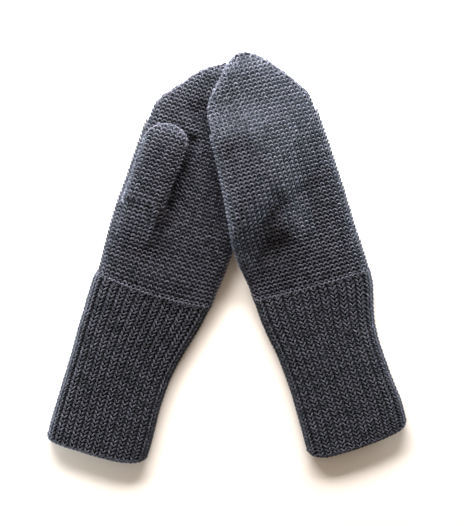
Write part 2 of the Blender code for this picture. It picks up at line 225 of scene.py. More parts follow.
# The stitches that close tips, mouths and the join of cuff and hand
EDGE_STEP = 2.9
EDGE_LAY = 0.8
EDGE_ROW = 0.95
EDGE_ANGLES = (-38.0, 4.0, 46.0)
EDGE_PROBE = 1.0
EDGE_INSET = 0.4
EDGE_START_INSET = 0.6
EDGE_START_REACH = 10.0
EDGE_BASE = 1.0
EDGE_TOP = 0.3
TIP_EDGE_START = 219.0
TIP_EDGE_POINTS = 40
THUMB_EDGE_START = 200.0
THUMB_EDGE_POINTS = 30
THUMB_EDGE_SHARE = 0.92
THUMB_EDGE_BASE = 0.2
MOUTH_RIM = 1.5
MOUTH_POINTS = 801
MOUTH_ROLL = 1.1
MOUTH_STEP = 2.75
MOUTH_OVERLAP = 1.05
MOUTH_ROWS = ((40.0, 0.5), (88.0, 0.0), (136.0, 0.5))
# Painted shade: the bars that roll over the mouth's edge are painted darker.
MOUTH_PAINTED_SHADE = 0.2
SEAM_STEP = 2.7
# Painted highlight: the seam's stitches are painted lighter than the rest of the yarn.
SEAM_PAINTED_HIGHLIGHT = 1.0
ALONG_PROBE = 0.5
ROUND_PROBE = 0.4

# The cloth under the yarn, and how finely lines and shells are made
FINE_TOP = 160
FINE_BELOW = 120
SHELL_TOP = 36
SHELL_BELOW = 28
SHELL_STEP = 4.0
SHELL_OUT = Skin(0.8, 1.9, 2.1)
SHELL_IN = Skin(2.6, 2.5, 2.6)
NO_SKIN = Skin(0, 0, 0)
RIB_SHELL_OUT = Skin(0.8, 1.2, 1.7)
RIB_VALLEY = 0.7
POINTS_PER_RIB = 4
MOUTH_RINGS = (0.2, 1.0)
LAST_RING_ROOM = 2.0
TIP_RINGS = 24
TIP_RING_GAP = 0.4
TIP_GAP = 0.8
TIP_HEIGHT = 2.7
LINING_SHORT = 8.0
LINING_TIP_GAP = 3.0
LINING_TIP_HEIGHT = 3.6
THUMB_SHELL_OUT = 1.3
THUMB_SHELL_IN = 2.2
THUMB_SHELL_TOP = 24
THUMB_SHELL_BELOW = 20
THUMB_SHELL_LINE = np.arange(141.0, 207.0, 3.0)
THUMB_SHELL_LAST = (208.0, 209.6)
THUMB_CLOTH_LINE = np.arange(150.0, 210.0, 4.0)
THUMB_GIRTH_LINE = np.linspace(-1, 1, 60)[:-1] * 30.0

# The yarn: half a stitch is a bent leg from its foot to its crest
LEG_POINTS = ("Foot", "Foot Pull", "Crest Pull", "Crest")
LEG_BELLY = 0.35
Yarn = namedtuple("Yarn", "foot foot_pull crest_pull crest radius sides steps")
Work = namedtuple("Work", "yarn wool seed turn size", defaults=(0.06, 0.05))
HAND_LEG = Yarn(
    foot=(-0.04, 1.12, 0.28),
    foot_pull=(-0.88, 1.15, 0.72),
    crest_pull=(-1.18, 0.0, 0.10),
    crest=(-1.38, -1.35, -1.80),
    radius=0.74,
    sides=5,
    steps=5,
)
RIB_LEG = Yarn(
    foot=(-0.32, -1.10, -0.90),
    foot_pull=(-0.50, -0.35, 0.50),
    crest_pull=(-1.05, 0.75, 0.70),
    crest=(-1.50, 1.80, -0.75),
    radius=0.74,
    sides=5,
    steps=5,
)
PURL_BAR = Yarn(
    foot=(0.10, 0.0, 0.30),
    foot_pull=(-0.60, 0.0, 0.42),
    crest_pull=(-1.20, 0.05, 0.15),
    crest=(-1.62, 0.05, -0.70),
    radius=0.74,
    sides=4,
    steps=2,
)
EDGE_BAR = PURL_BAR._replace(radius=0.92, sides=6, steps=4)
HIDDEN_HAND_LEG = HAND_LEG._replace(sides=4, steps=3)
HIDDEN_RIB_LEG = RIB_LEG._replace(sides=4, steps=3)
WORKS = {
    "hand_knit_above": Work(HAND_LEG, "plain_wool", 0),
    "hand_knit_below": Work(HIDDEN_HAND_LEG, "plain_wool", 10),
    "hand_tip_edge": Work(EDGE_BAR, "plain_wool", 15, 0.15, 0.12),
    "hand_join": Work(HAND_LEG, "plain_wool", 16, 0.2, 0.12),
    "hand_join_below": Work(HIDDEN_HAND_LEG, "plain_wool", 17, 0.3, 0.05),
    "cuff_ribs_above": Work(RIB_LEG, "rib_wool_painted_shade", 21),
    "cuff_purl_above": Work(PURL_BAR, "rib_wool_painted_shade", 23),
    "cuff_mouth_above": Work(EDGE_BAR, "rib_wool_painted_shade", 26),
    "cuff_ribs_below": Work(HIDDEN_RIB_LEG, "rib_wool_painted_shade", 20),
    "cuff_purl_below": Work(PURL_BAR, "rib_wool_painted_shade", 22),
    "cuff_mouth_below": Work(EDGE_BAR, "rib_wool_painted_shade", 25),
    "thumb_knit_outer": Work(HAND_LEG, "plain_wool", 30),
    "thumb_knit_inner": Work(HIDDEN_HAND_LEG, "plain_wool", 40),
    "thumb_tip_edge": Work(EDGE_BAR, "plain_wool", 45, 0.15, 0.1),
}

# The wool's look. The rib wool and the wool behind the yarn are darker copies of the plain wool:
# painted shade.
Wool = namedtuple("Wool", "dark pale sheen twisted")
Grain = namedtuple("Grain", "scale detail roughness share")
PAINTED_SHADE_LINING = "painted_shade_behind_yarn"
WOOLS = {
    "plain_wool": Wool((0.0050, 0.0042, 0.0064, 1.0), (0.096, 0.084, 0.100, 1.0), 0.43, True),
    # Painted shade: the cuffs' rib wool is the same yarn as the plain wool, painted darker.
    "rib_wool_painted_shade": Wool((0.0046, 0.0040, 0.0052, 1.0), (0.062, 0.055, 0.066, 1.0), 0.34, True),
    # Painted shade: the cloth behind the yarn is painted far darker than the yarn, to fill the gaps
    # between stitches.
    PAINTED_SHADE_LINING: Wool((0.0044, 0.0044, 0.0054, 1.0), (0.0175, 0.0175, 0.022, 1.0), 0.05, False),
}
FLECK = Grain(620.0, 3.0, 0.65, 1.2)
FIBRE = Grain(3400.0, 2.0, 0.6, 0.5)
CLOUD = Grain(26.0, 2.0, 0.5, 0.3)
TONE_SHARE = 0.75
# The tone of the cloth behind the yarn, which is painted shade.
LINING_TONE = 0.3
LEG_TONE_SHARE = 0.6
LEG_TONE_SHUFFLE = 13.0
PLIES = 3.0
FIBRE_RELIEF = 0.6
PLY_RELIEF = 0.5
RELIEF_STRENGTH = 0.55
RELIEF_DEPTH = 0.00018
WOOL_ROUGHNESS = 0.78
FLECK_ROUGHNESS = 0.2
WOOL_GLOSS = 0.18
SHEEN_ROUGHNESS = 0.45
SHEEN_TINT = (0.80, 0.88, 1.0, 1.0)

# Light, camera and floor, in metres. A pixel and the sensor are in millimetres.
Window = namedtuple("Window", "name place size energy color")
WINDOWS = (
    Window("window", (-0.07, 0.56, 0.30), (0.8, 0.18), 18.2, (0.92, 0.94, 1.0)),
    Window("near_window", (-0.07, 0.30, 0.025), (0.44, 0.03), 5.0, (0.80, 0.90, 1.0)),
    Window("left_window", (-0.28, -0.08, 0.007), (0.40, 0.012), 2.7, (0.78, 0.90, 1.0)),
    Window("right_window", (0.25, 0.17, 0.012), (0.36, 0.015), 3.2, (0.78, 0.90, 1.0)),
)
WINDOW_AIM = (0.0, 0.05, 0.0)
FAR_WALL = (1.70, 1.84, 2.00, 1.0)
NEAR_WALL = (0.12, 0.105, 0.09, 1.0)
OVERHEAD = (0.34, 0.29, 0.245, 1.0)
CEILING_CLIMB = 1.8
WALL_TURN = 0.8
WALL_SIDE = 0.25
FLOOR_DROP = 0.0003
FLOOR_HALF = 2.0
FLOOR_COLOR = (0.97, 0.875, 0.765, 1.0)
FLOOR_ROUGHNESS = 0.9
FLOOR_GLOSS = 0.1
PHOTO_SIZE = (464, 526)
PHOTO_ZERO = (226.98, 257.39)
PIXEL = 0.62
CAMERA_DISTANCE = 1.25
SCALE_HEIGHT = 0.010
SENSOR = 36.0


def smooth(rows, column, place):
    """A table's column at any place in its first column, on a curve that never overshoots.

    Past an end of the table it keeps the last row's value.
    """
    x = np.array([row[0] for row in rows])
    y = np.array([getattr(row, column) for row in rows])
    rise = np.diff(y) / np.diff(x)
    before, after = rise[:-1], rise[1:]
    same_way = before * after > 0
    between = 2 * before * after / np.where(same_way, before + after, 1.0)
    slope = np.concatenate([rise[:1], np.where(same_way, between, 0.0), rise[-1:]])
    place = np.clip(np.asarray(place, float), x[0], x[-1])
    i = np.clip(np.searchsorted(x, place) - 1, 0, len(x) - 2)
    span = x[i + 1] - x[i]
    t = (place - x[i]) / span
    value = (2 * t**3 - 3 * t**2 + 1) * y[i] + (3 * t**2 - 2 * t**3) * y[i + 1]
    return value + span * ((t**3 - 2 * t**2 + t) * slope[i] + (t**3 - t**2) * slope[i + 1])


def ease(value):
    """0 below 0, 1 above 1, and a smooth climb between."""
    t = np.clip(value, 0.0, 1.0)
    return t * t * (3 - 2 * t)


def climb(value, ends):
    """0 before the first end, 1 past the second, and a smooth climb between."""
    return ease((value - ends[0]) / (ends[1] - ends[0]))


def unit(vector):
    """Vectors made one long."""
    return vector / np.maximum(np.linalg.norm(vector, axis=-1, keepdims=True), TINY)


def run_along(line):
    """The way along a line of points from its first one to each of them."""
    return np.concatenate([[0.0], np.cumsum(np.linalg.norm(np.diff(line, axis=0), axis=1))])


def facing(above):
    """1 for what is above, and -1 for what is below."""
    return 1 if above else -1


def edges_at(mitten, along):
    """The centre and half width of the mitten at a place along it."""
    left = smooth(mitten.edges, "left", along)
    right = smooth(mitten.edges, "right", along)
    return (left + right) / 2, (right - left) / 2


def turned(mitten, along, across):
    """The X and Y of a direction on the mitten."""
    lean = math.radians(mitten.lean)
    x = along * math.sin(lean) + across * math.cos(lean)
    return x, along * math.cos(lean) - across * math.sin(lean)


def on_floor(mitten, along, across):
    """The X and Y of a place on the mitten."""
    x, y = turned(mitten, along, across)
    return mitten.mouth_x + x, mitten.mouth_y + y


def along_lower(x, y):
    """The place along the lower mitten that lies at an X and Y."""
    lean = math.radians(LOWER.lean)
    return (x - LOWER.mouth_x) * math.sin(lean) + (y - LOWER.mouth_y) * math.cos(lean)


def crown(share):
    """Height of the upper face, from 0 at the side fold to 1 in the middle."""
    return np.sqrt(np.maximum(0.0, 1 - np.abs(share) ** CROWN))


def flat_section(share, upper, half, height):
    """Height of a flattened tube's outline at a share of its half width. It is flat below."""
    side = SIDE_HEIGHT * height
    flat = np.maximum(0.0, 1 - SIDE_ROUND / half)
    past = np.clip((np.abs(share) - flat) / (1 - flat), 0.0, 1.0)
    rounded = np.sqrt(1 - past**2)
    above = side + (height - side) * (FULLNESS * rounded + (1 - FULLNESS) * crown(share))
    return np.where(upper, above, side * (1 - rounded))


def round_shares(on_top, below):
    """Shares of the half width round a ring: right to left on top, then back below."""
    over = np.cos(np.pi * np.arange(on_top + 1) / on_top)
    under = -np.cos(np.pi * np.arange(1, below) / below)
    share = np.concatenate([over, under])
    return share, np.arange(len(share)) <= on_top


def lower_outline():
    """The lower mitten's outline on the floor, as a closed line of points."""
    along = np.linspace(0.0, LOWER.edges[-1].along, OUTLINE_POINTS)
    left, right = (
        np.stack(on_floor(LOWER, along, smooth(LOWER.edges, side, along)), axis=1)
        for side in ("left", "right")
    )
    tip = on_floor(LOWER, LOWER.length, edges_at(LOWER, LOWER.length)[0])
    return np.concatenate([left, [tip], right[::-1]])


def inside_lower(x, y):
    """How far inside the lower mitten's outline a place lies. It is negative outside."""
    start = lower_outline()
    end = np.roll(start, -1, axis=0)
    point = np.stack([np.ravel(x), np.ravel(y)], axis=1)[:, None, :]
    run = end - start
    t = ((point - start) * run).sum(-1) / np.maximum((run**2).sum(-1), TINY)
    nearest = start + np.clip(t, 0, 1)[..., None] * run
    distance = np.linalg.norm(point - nearest, axis=-1).min(axis=1)
    crosses = (start[:, 1] > point[..., 1]) != (end[:, 1] > point[..., 1])
    rise = np.where(run[:, 1] == 0, TINY, run[:, 1])
    reach = start[:, 0] + (point[..., 1] - start[:, 1]) / rise * run[:, 0]
    inside = (crosses & (point[..., 0] < reach)).sum(axis=1) % 2 == 1
    return np.where(inside, distance, -distance).reshape(np.shape(x))


def lift(mitten, along, across):
    """How high above the floor the underside of a mitten's hand or cuff lies."""
    if mitten.thumb_above:
        return np.zeros(np.shape(across))
    x, y = on_floor(mitten, along, across)
    over_lower = smooth(HEIGHTS, "height", along_lower(x, y)) + TOUCH_GAP
    over_thumb = climb(along, THUMB_CLIMB_START) * climb(along, THUMB_CLIMB_END)
    over_thumb = over_thumb * climb(across, THUMB_CLIMB_SIDE)
    thumb_room = mitten.thumb_press * THUMB_HEIGHT + mitten.thumb_gap + TOUCH_GAP
    return over_lower * climb(inside_lower(x, y), LOWER_CLIMB) + thumb_room * over_thumb


def beside(line, along, across):
    """How far places are past a line's start, how far to its tip side, and the line's length."""
    run = np.array([line.end_along - line.along, line.end_across - line.across])
    size = float(np.hypot(*run))
    u, v = along - line.along, across - line.across
    side = (u * run[1] - v * run[0]) / size
    return (u * run[0] + v * run[1]) / size, side if run[1] > 0 else -side, size


def dent(mitten, along, across):
    """How far the upper face sinks into the mitten's soft hollows."""
    depth = np.zeros(np.shape(across))
    for hollow in mitten.dents:
        u = (along - hollow.along) / hollow.reach_along
        v = (across - hollow.across) / hollow.reach_across
        depth = depth + hollow.depth * ease(1 - np.sqrt(u * u + v * v))
    return depth


def crease(mitten, along, across):
    """How far the upper face sinks along the mitten's folds, beside what lies on or under it."""
    depth = np.zeros(np.shape(across))
    for fold in mitten.folds:
        past, side, size = beside(fold, along, across)
        distance = np.hypot(past - np.clip(past, 0.0, size), side)
        depth = depth + fold.depth * ease(1 - distance / fold.reach)
    return depth


def span(mitten, along, across):
    """How much the upper face of a lifted hand spans the hollow beside what lies under it."""
    centre, half = edges_at(mitten, along)
    edge = lift(mitten, along, centre - SPAN_START * half)
    share = np.clip((across - centre) / half, -SPAN_START, 1.0)
    carried = edge * (1 - ((share + SPAN_START) / (1 + SPAN_START)) ** SPAN_BOW)
    return np.maximum(0.0, carried - lift(mitten, along, across))


def swell(mitten, along, across):
    """How far the upper face rises on the tip side of a line where the cloth bends down."""
    height = np.zeros(np.shape(across))
    for bank in mitten.banks:
        past, side, size = beside(bank, along, across)
        rise = 1 - np.clip(1 - side / bank.reach, 0.0, 1.0) ** 2
        fall = ease(1 - (side - bank.reach) / bank.back)
        ends = ease(1 + past / bank.back) * ease(1 + (size - past) / bank.reach)
        spanned = span(mitten, along, across) * ease(side / SPAN_FADE)
        height = height + bank.height * rise * fall * ends + spanned
    return height


def thumb_root(mitten, along, across):
    """How far the palm swells where the thumb grows out of it."""
    if not mitten.thumb_above:
        return np.zeros(np.shape(across))
    centre = smooth(THUMB_RINGS, "centre", along)
    half = smooth(THUMB_RINGS, "half_width", along)
    flank = climb(np.abs(across - centre) / half, ROOT_SIDE)
    return THUMB_HEIGHT * climb(along, ROOT_START) * climb(along, ROOT_END) * flank


def lay(mitten, station, share, upper, across, level):
    """X, Y and Z of places on a mitten's ring, in metres."""
    near_mouth = np.maximum(0.0, 1 - station / MOUTH_REACH) ** 2
    near_seam = np.maximum(0.0, 1 - np.abs(station - mitten.cuff_length) / SEAM_REACH) ** 2
    bow = mitten.seam_bow * (1 - share**2)
    along = station + near_mouth * smooth(mitten.mouth, "pull", share) + near_seam * bow
    relief = thumb_root(mitten, along, across) - dent(mitten, along, across)
    relief = relief + swell(mitten, along, across) - crease(mitten, along, across)
    z = level + np.where(upper, relief * crown(share), 0.0) + lift(mitten, along, across)
    return np.stack([*on_floor(mitten, along, across), z], axis=-1) * MM


def section(mitten, station, skin, share, upper):
    """Across and level round a hand or cuff at one station, drawn in by a skin."""
    centre, half = edges_at(mitten, station)
    half = np.maximum(half - skin.side, LEAST_HALF)
    height = smooth(HEIGHTS, "height", station) - skin.above - skin.below
    return centre + share * half, skin.below + flat_section(share, upper, half, height)


def palm(mitten, along, across):
    """Height of the face that the thumb lies on, held level past the edge of its bed."""
    centre, half = edges_at(mitten, along)
    share = np.clip((across - centre) / half, -THUMB_BED, THUMB_BED)
    bed = centre + share * half
    if not mitten.thumb_above:
        return lift(mitten, along, bed)
    height = smooth(HEIGHTS, "height", along)
    return flat_section(share, True, half, height) - dent(mitten, along, bed) * crown(share)


class Line:
    """A closed line round a tube: from its right fold over the top, and back below."""

    def measure(self, across, level):
        """Close the line and find the way along it to each of its points."""
        self.across = np.append(across, across[0])
        self.level = np.append(level, level[0])
        self.arc = run_along(np.stack([self.across, self.level], axis=1))
        self.over = self.arc[FINE_TOP]

    def face_length(self, above):
        """The line's length on one face."""
        return self.over if above else self.arc[-1] - self.over

    def place(self, away, above):
        """The way along the line to places at distances from a face's middle, to the right."""
        half = self.face_length(above) / 2
        return np.mod(half - away if above else self.over + half + away, self.arc[-1])


class Ring(Line):
    """The line round a hand or cuff at one station, drawn in by a skin."""

    def __init__(self, mitten, station, skin):
        self.mitten, self.station = mitten, station
        share, upper = round_shares(FINE_TOP, FINE_BELOW)
        self.share = np.append(share, share[0])
        self.measure(*section(mitten, station, skin, share, upper))

    def on_top(self, away):
        """Whether places at distances from the top's middle are on the top."""
        return self.place(away, True) < self.over

    def find(self, away, above):
        """Share, side, across and level at distances from the middle of a face."""
        place = self.place(away, above)
        share, across, level = (
            np.interp(place, self.arc, value) for value in (self.share, self.across, self.level)
        )
        return share, place < self.over, across, level

    def read(self, away, above):
        """X, Y and Z at distances from the middle of a face, in metres."""
        return lay(self.mitten, self.station, *self.find(away, above))


class ThumbLine(Line):
    """The line round a thumb at one place along its top, drawn in by an inset."""

    def __init__(self, mitten, station, inset):
        self.mitten, self.station, self.inset = mitten, station, inset
        self.base, height, self.centre, half = (
            float(smooth(THUMB_RINGS, name, station)) for name in ThumbRing._fields[1:]
        )
        self.rise = height * mitten.thumb_press
        self.span = math.hypot(self.base - station, self.rise)
        self.half = max(half - inset, LEAST_HALF)
        self.tall = max(self.span - 2 * inset, LEAST_HEIGHT)
        self.measure(*self.section(*round_shares(FINE_TOP, FINE_BELOW)))

    def section(self, share, upper):
        """Across and level round the thumb."""
        level = self.inset + flat_section(share, upper, self.half, self.tall)
        return self.centre + share * self.half, level

    def lay(self, across, level):
        """X, Y and Z of places on the line, in metres."""
        share = level / self.span
        along = self.base + (self.station - self.base) * share
        away = self.mitten.thumb_gap + share * self.rise
        z = palm(self.mitten, along, across) + facing(self.mitten.thumb_above) * away
        return np.stack([*on_floor(self.mitten, along, across), z], axis=-1) * MM

    def read(self, away, above):
        """X, Y and Z at distances from the middle of a face, in metres."""
        place = self.place(away, above)
        across = np.interp(place, self.arc, self.across)
        return self.lay(across, np.interp(place, self.arc, self.level))


def gather(grid, keep, outward, shade=SHADE, width_share=1.0, nominal_row=ROW_HEIGHT):
    """The stitches to keep of a grid of points that has a spare edge all round.

    Outward is 1 or -1, and turns the face's normals away from the cloth.
    """
    grid, keep = np.array(grid), np.array(keep)[1:-1, 1:-1]
    up = (grid[2:, 1:-1] - grid[:-2, 1:-1]) / 2
    right = (grid[1:-1, 2:] - grid[1:-1, :-2]) / 2
    row = np.linalg.norm(up, axis=-1)
    width = np.linalg.norm(right, axis=-1) * width_share
    cell = [width / (STITCH_WIDTH * MM), row / (nominal_row * MM), np.ones_like(row)]
    cell = np.clip(np.stack(cell, axis=-1), *CELL_LIMITS)
    normal = outward * unit(np.cross(right, up))
    columns = (grid[1:-1, 1:-1], normal, unit(up), cell, np.full(row.shape, shade))
    return Places(*(column[keep] for column in columns))


def together(groups):
    """Several groups of places as one."""
    return Places(*(np.concatenate(column) for column in zip(*groups)))


def plain_knit(line_at, stations, even_until, columns, above, outward):
    """A stitch for every loop of plain knitting on one face of a tube."""
    column = np.arange(-1, columns + 1) - (columns - 1) / 2
    grid, keep = [], []
    for station in stations:
        line = line_at(station)
        width = line_at(min(station, even_until)).face_length(above) / columns
        away = column * width
        grid.append(line.read(away, above))
        keep.append(np.abs(away) < line.face_length(above) / 2 - FACE_MARGIN * width)
    return gather(grid, keep, outward)


def hand_places(mitten, above):
    """The plain stitches on one face of a hand."""
    rows = int((mitten.length - TIP_MARGIN - mitten.cuff_length) / ROW_HEIGHT) + 1
    stations = mitten.cuff_length + FIRST_ROW + ROW_HEIGHT * np.arange(-1, rows + 1)

    def line_at(station):
        return Ring(mitten, station, YARN_LAY)

    return plain_knit(line_at, stations, EVEN_UNTIL, HAND_COLUMNS, above, facing(above))


def thumb_places(mitten, above):
    """The plain stitches on one face of a thumb."""
    first = mitten.cuff_length + FIRST_ROW + mitten.thumb_skipped_rows * ROW_HEIGHT
    rows = int((THUMB_TIP - THUMB_TIP_MARGIN - first) / ROW_HEIGHT) + 1
    stations = first + ROW_HEIGHT * np.arange(-1, rows + 1)
    outward = facing(above) * facing(mitten.thumb_above)

    def line_at(station):
        return ThumbLine(mitten, station, THUMB_LAY)

    return plain_knit(line_at, stations, THUMB_EVEN_UNTIL, THUMB_COLUMNS, above, outward)


def cuff_places(
    mitten, above, skin=RIB_LAY, shift=0.0, width_share=RIB_STITCH_SHARE, shade=SHADE
):
    """A stitch for every loop of the knit ribs, or between them, on one side of a cuff."""
    rows = int((mitten.cuff_length - CUFF_END_MARGIN) / RIB_ROW_HEIGHT) + 1
    column = np.arange(-1, RIBS_ROUND + 1) - (RIBS_ROUND - 1) / 2 + shift
    grid, keep = [], []
    for station in RIB_FIRST_ROW + RIB_ROW_HEIGHT * np.arange(-1, rows + 1):
        ring = Ring(mitten, station, skin)
        away = column * ring.arc[-1] / RIBS_ROUND
        grid.append(ring.read(away, True))
        keep.append(ring.on_top(away) == above)
    return gather(grid, keep, 1, shade, width_share, RIB_ROW_HEIGHT)


def edge_places(point, normal, along, step, row=1.0, shade=SHADE):
    """Stitches a step wide at the points of an edge."""
    cell = np.tile([step / STITCH_WIDTH, row, 1.0], (len(point), 1))
    return Places(point, normal, along, cell, np.full(len(point), shade))


def rolled(outward, up, roll):
    """A normal turned from outward towards up, and the way that the rows there run."""
    normal = math.cos(roll) * outward + math.sin(roll) * up
    return normal, math.sin(roll) * outward - math.cos(roll) * up


def rolled_edge(mitten, along, across, tall, base, bed):
    """Stitches in rows that roll over an edge, which is a line of places on the mitten's plan.

    Tall is how high the edge is at each place, and base how far over its bed it begins.
    """
    run = run_along(np.stack([along, across], axis=1))
    count = int(run[-1] / EDGE_STEP)
    step = run[-1] / count
    place = (np.arange(count) + 0.5) * step

    def at(where):
        return np.stack([np.interp(where, run, value) for value in (along, across, tall, base)])

    s, c, high, low = at(place)
    tangent = unit((at(place + EDGE_PROBE) - at(place - EDGE_PROBE))[:2].T)
    out_along, out_across = tangent[:, 1], -tangent[:, 0]
    flat = np.stack([*turned(mitten, out_along, out_across), np.zeros(count)], axis=1)
    radius = high / 2 - EDGE_LAY
    groups = []
    for angle in EDGE_ANGLES:
        roll = math.radians(angle)
        back = radius * (1 - math.cos(roll))
        s_in, c_in = s - back * out_along, c - back * out_across
        z = low + high / 2 + radius * math.sin(roll) + bed(mitten, s_in, c_in)
        point = np.stack([*on_floor(mitten, s_in, c_in), z], axis=1) * MM
        normal, rows = rolled(flat, np.array([0.0, 0.0, 1.0]), roll)
        groups.append(edge_places(point, normal, rows, step, EDGE_ROW))
    return together(groups)


def hand_edge(mitten):
    """The stitches that close a hand's slanting tip."""
    side = np.linspace(TIP_EDGE_START, mitten.edges[-1].along, TIP_EDGE_POINTS)
    inset = EDGE_INSET + EDGE_START_INSET * (1 - ease((side - TIP_EDGE_START) / EDGE_START_REACH))
    left = smooth(mitten.edges, "left", side) + inset
    right = smooth(mitten.edges, "right", side) - inset
    along = np.concatenate([side, [mitten.length], side[::-1]])
    across = np.concatenate([left, [(left[-1] + right[-1]) / 2], right[::-1]])
    tall = smooth(HEIGHTS, "height", along) - EDGE_BASE - EDGE_TOP
    return rolled_edge(mitten, along, across, tall, np.full(len(along), EDGE_BASE), lift)


def thumb_edge(mitten):
    """The stitches that close a thumb's round tip."""
    side = np.linspace(THUMB_EDGE_START, THUMB_RINGS[-1].top_along, THUMB_EDGE_POINTS)
    centre = smooth(THUMB_RINGS, "centre", side)
    half = smooth(THUMB_RINGS, "half_width", side)
    along = np.concatenate([side, [THUMB_TIP], side[::-1]])
    across = np.concatenate([centre - half, centre[-1:], (centre + half)[::-1]])
    tall = mitten.thumb_press * smooth(THUMB_RINGS, "height", along) * THUMB_EDGE_SHARE
    base = np.full(len(along), mitten.thumb_gap + THUMB_EDGE_BASE)
    if not mitten.thumb_above:
        base = -base - tall
    return rolled_edge(mitten, along, across, tall, base, palm)


def ring_frames(mitten, station, away, skin):
    """Points, outward normals and directions along, at distances from a ring's top middle."""

    def at(s, a):
        return Ring(mitten, s, skin).read(a, True)

    along = unit(at(station + ALONG_PROBE, away) - at(station - ALONG_PROBE, away))
    side = unit(at(station, away + ROUND_PROBE) - at(station, away - ROUND_PROBE))
    return at(station, away), unit(np.cross(side, along)), along


def mouth_edge(mitten, above):
    """Thick bars of yarn, evenly spaced, that roll over the mouth's edge."""
    ring = Ring(mitten, MOUTH_RIM, RIB_LAY)
    fine = np.linspace(-0.5, 0.5, MOUTH_POINTS) * ring.arc[-1]
    run = run_along(ring.read(fine, True))
    count = int(run[-1] / (MOUTH_STEP * MM))
    radius = MOUTH_ROLL * MM
    groups = []
    for angle, shift in MOUTH_ROWS:
        away = np.interp((np.arange(count) + shift) / count * run[-1], run, fine)
        away = away[ring.on_top(away) == above]
        point, normal, along = ring_frames(mitten, MOUTH_RIM, away, RIB_LAY)
        outward, rows = rolled(normal, -along, math.radians(angle))
        point = point - normal * radius + radius * outward
        step = MOUTH_STEP * MOUTH_OVERLAP
        groups.append(edge_places(point, outward, rows, step, shade=MOUTH_PAINTED_SHADE))
    return together(groups)


def seam_chain(mitten, above):
    """The uneven linked stitches where the cuff meets the hand."""
    ring = Ring(mitten, mitten.cuff_length, SEAM_LAY)
    count = int(ring.arc[-1] / SEAM_STEP)
    away = (np.arange(count) - count / 2) * ring.arc[-1] / count
    away = away[ring.on_top(away) == above]
    frames = ring_frames(mitten, mitten.cuff_length, away, SEAM_LAY)
    return edge_places(*frames, SEAM_STEP, EDGE_ROW, SEAM_PAINTED_HIGHLIGHT)


def signed_volume(mesh):
    """The volume inside a closed mesh. It is negative where the faces point in."""
    mesh.calc_loop_triangles()
    point = np.empty(len(mesh.vertices) * 3)
    mesh.vertices.foreach_get("co", point)
    corner = np.empty(len(mesh.loop_triangles) * 3, int)
    mesh.loop_triangles.foreach_get("vertices", corner)
    a, b, c = (point.reshape(-1, 3)[corner.reshape(-1, 3)[:, i]] for i in range(3))
    return float((a * np.cross(b, c)).sum() / 6)


def add_object(name, data):
    """A new object in the scene."""
    made = bpy.data.objects.new(name, data)
    bpy.context.scene.collection.objects.link(made)
    return made


def tube_mesh(name, outer, inner, tips=None):
    """A closed wall of cloth between outer and inner rings, open at its first ring.

    Tips are the points that close the outer and the inner wall at the other end. Without them
    the tube is open there too.
    """
    count = len(outer[0])
    points = np.concatenate([*outer, *inner])
    inner_start = len(outer) * count
    outer_last = inner_start - count
    inner_last = len(points) - count
    faces = []

    def band(low, high):
        for j in range(count):
            k = (j + 1) % count
            faces.append((low + j, low + k, high + k, high + j))

    for start in range(0, outer_last, count):
        band(start, start + count)
    for start in range(inner_start, inner_last, count):
        band(start + count, start)
    band(inner_start, 0)
    if tips is None:
        band(outer_last, inner_last)
    else:
        tip = len(points)
        points = np.concatenate([points, tips])
        for j in range(count):
            k = (j + 1) % count
            faces.append((outer_last + j, outer_last + k, tip))
            faces.append((inner_last + k, inner_last + j, tip + 1))
    mesh = bpy.data.meshes.new(name)
    mesh.from_pydata(points.tolist(), [], faces)
    mesh.validate()
    mesh.update()
    if signed_volume(mesh) < 0:
        mesh.flip_normals()
    mesh.shade_smooth()
    return add_object(name, mesh)


def shell_ring(mitten, station, skin, valley=0.0):
    """One ring of a cuff's cloth. Valley is how deep it sinks between the ribs."""
    ring = Ring(mitten, station, skin)
    count = RIBS_ROUND * POINTS_PER_RIB
    turn = 0.5 - np.arange(count) / count
    share, upper, across, level = ring.find(turn * ring.arc[-1], True)
    sunk = valley * (0.5 - 0.5 * np.cos(2 * np.pi * turn * RIBS_ROUND))
    run = unit(np.stack([np.roll(v, -1) - np.roll(v, 1) for v in (across, level)], axis=1))
    across = across - sunk * run[:, 1]
    level = level + sunk * run[:, 0]
    return lay(mitten, station, share, upper, across, level)


def plain_ring(mitten, station, skin):
    """One ring of a hand's cloth."""
    share, upper = round_shares(SHELL_TOP, SHELL_BELOW)
    across, level = section(mitten, station, skin, share, upper)
    return lay(mitten, station, share, upper, across, level)


def cuff_shell(mitten):
    """The cloth of a ribbed cuff, open at both ends."""
    end = mitten.cuff_length - SEAM_GAP
    stations = [*MOUTH_RINGS, *np.arange(SHELL_STEP, end - LAST_RING_ROOM, SHELL_STEP), end]
    outer = [shell_ring(mitten, s, RIB_SHELL_OUT, RIB_VALLEY) for s in stations]
    inner = [shell_ring(mitten, s, SHELL_IN) for s in stations]
    return tube_mesh(mitten.name + "_cuff_cloth", outer, inner)


def hand_shell(mitten):
    """The cloth of a hand, closed at the finger tip."""
    last = mitten.edges[-1].along - TIP_RING_GAP
    straight = np.arange(mitten.cuff_length, TIP_EDGE_START, SHELL_STEP)
    stations = np.concatenate([straight, np.linspace(TIP_EDGE_START, last, TIP_RINGS)])
    lined = stations[stations < last - LINING_SHORT]
    outer = [plain_ring(mitten, s, SHELL_OUT) for s in stations]
    inner = [plain_ring(mitten, s, SHELL_IN) for s in lined]
    ends = (
        (mitten.length - TIP_GAP, TIP_HEIGHT),
        (lined[-1] + LINING_TIP_GAP, LINING_TIP_HEIGHT),
    )
    tips = []
    for along, middle in ends:
        centre = float(edges_at(mitten, along)[0])
        height = middle + float(lift(mitten, along, centre))
        tips.append((*on_floor(mitten, along, centre), height))
    return tube_mesh(mitten.name + "_hand_cloth", outer, inner, np.array(tips) * MM)


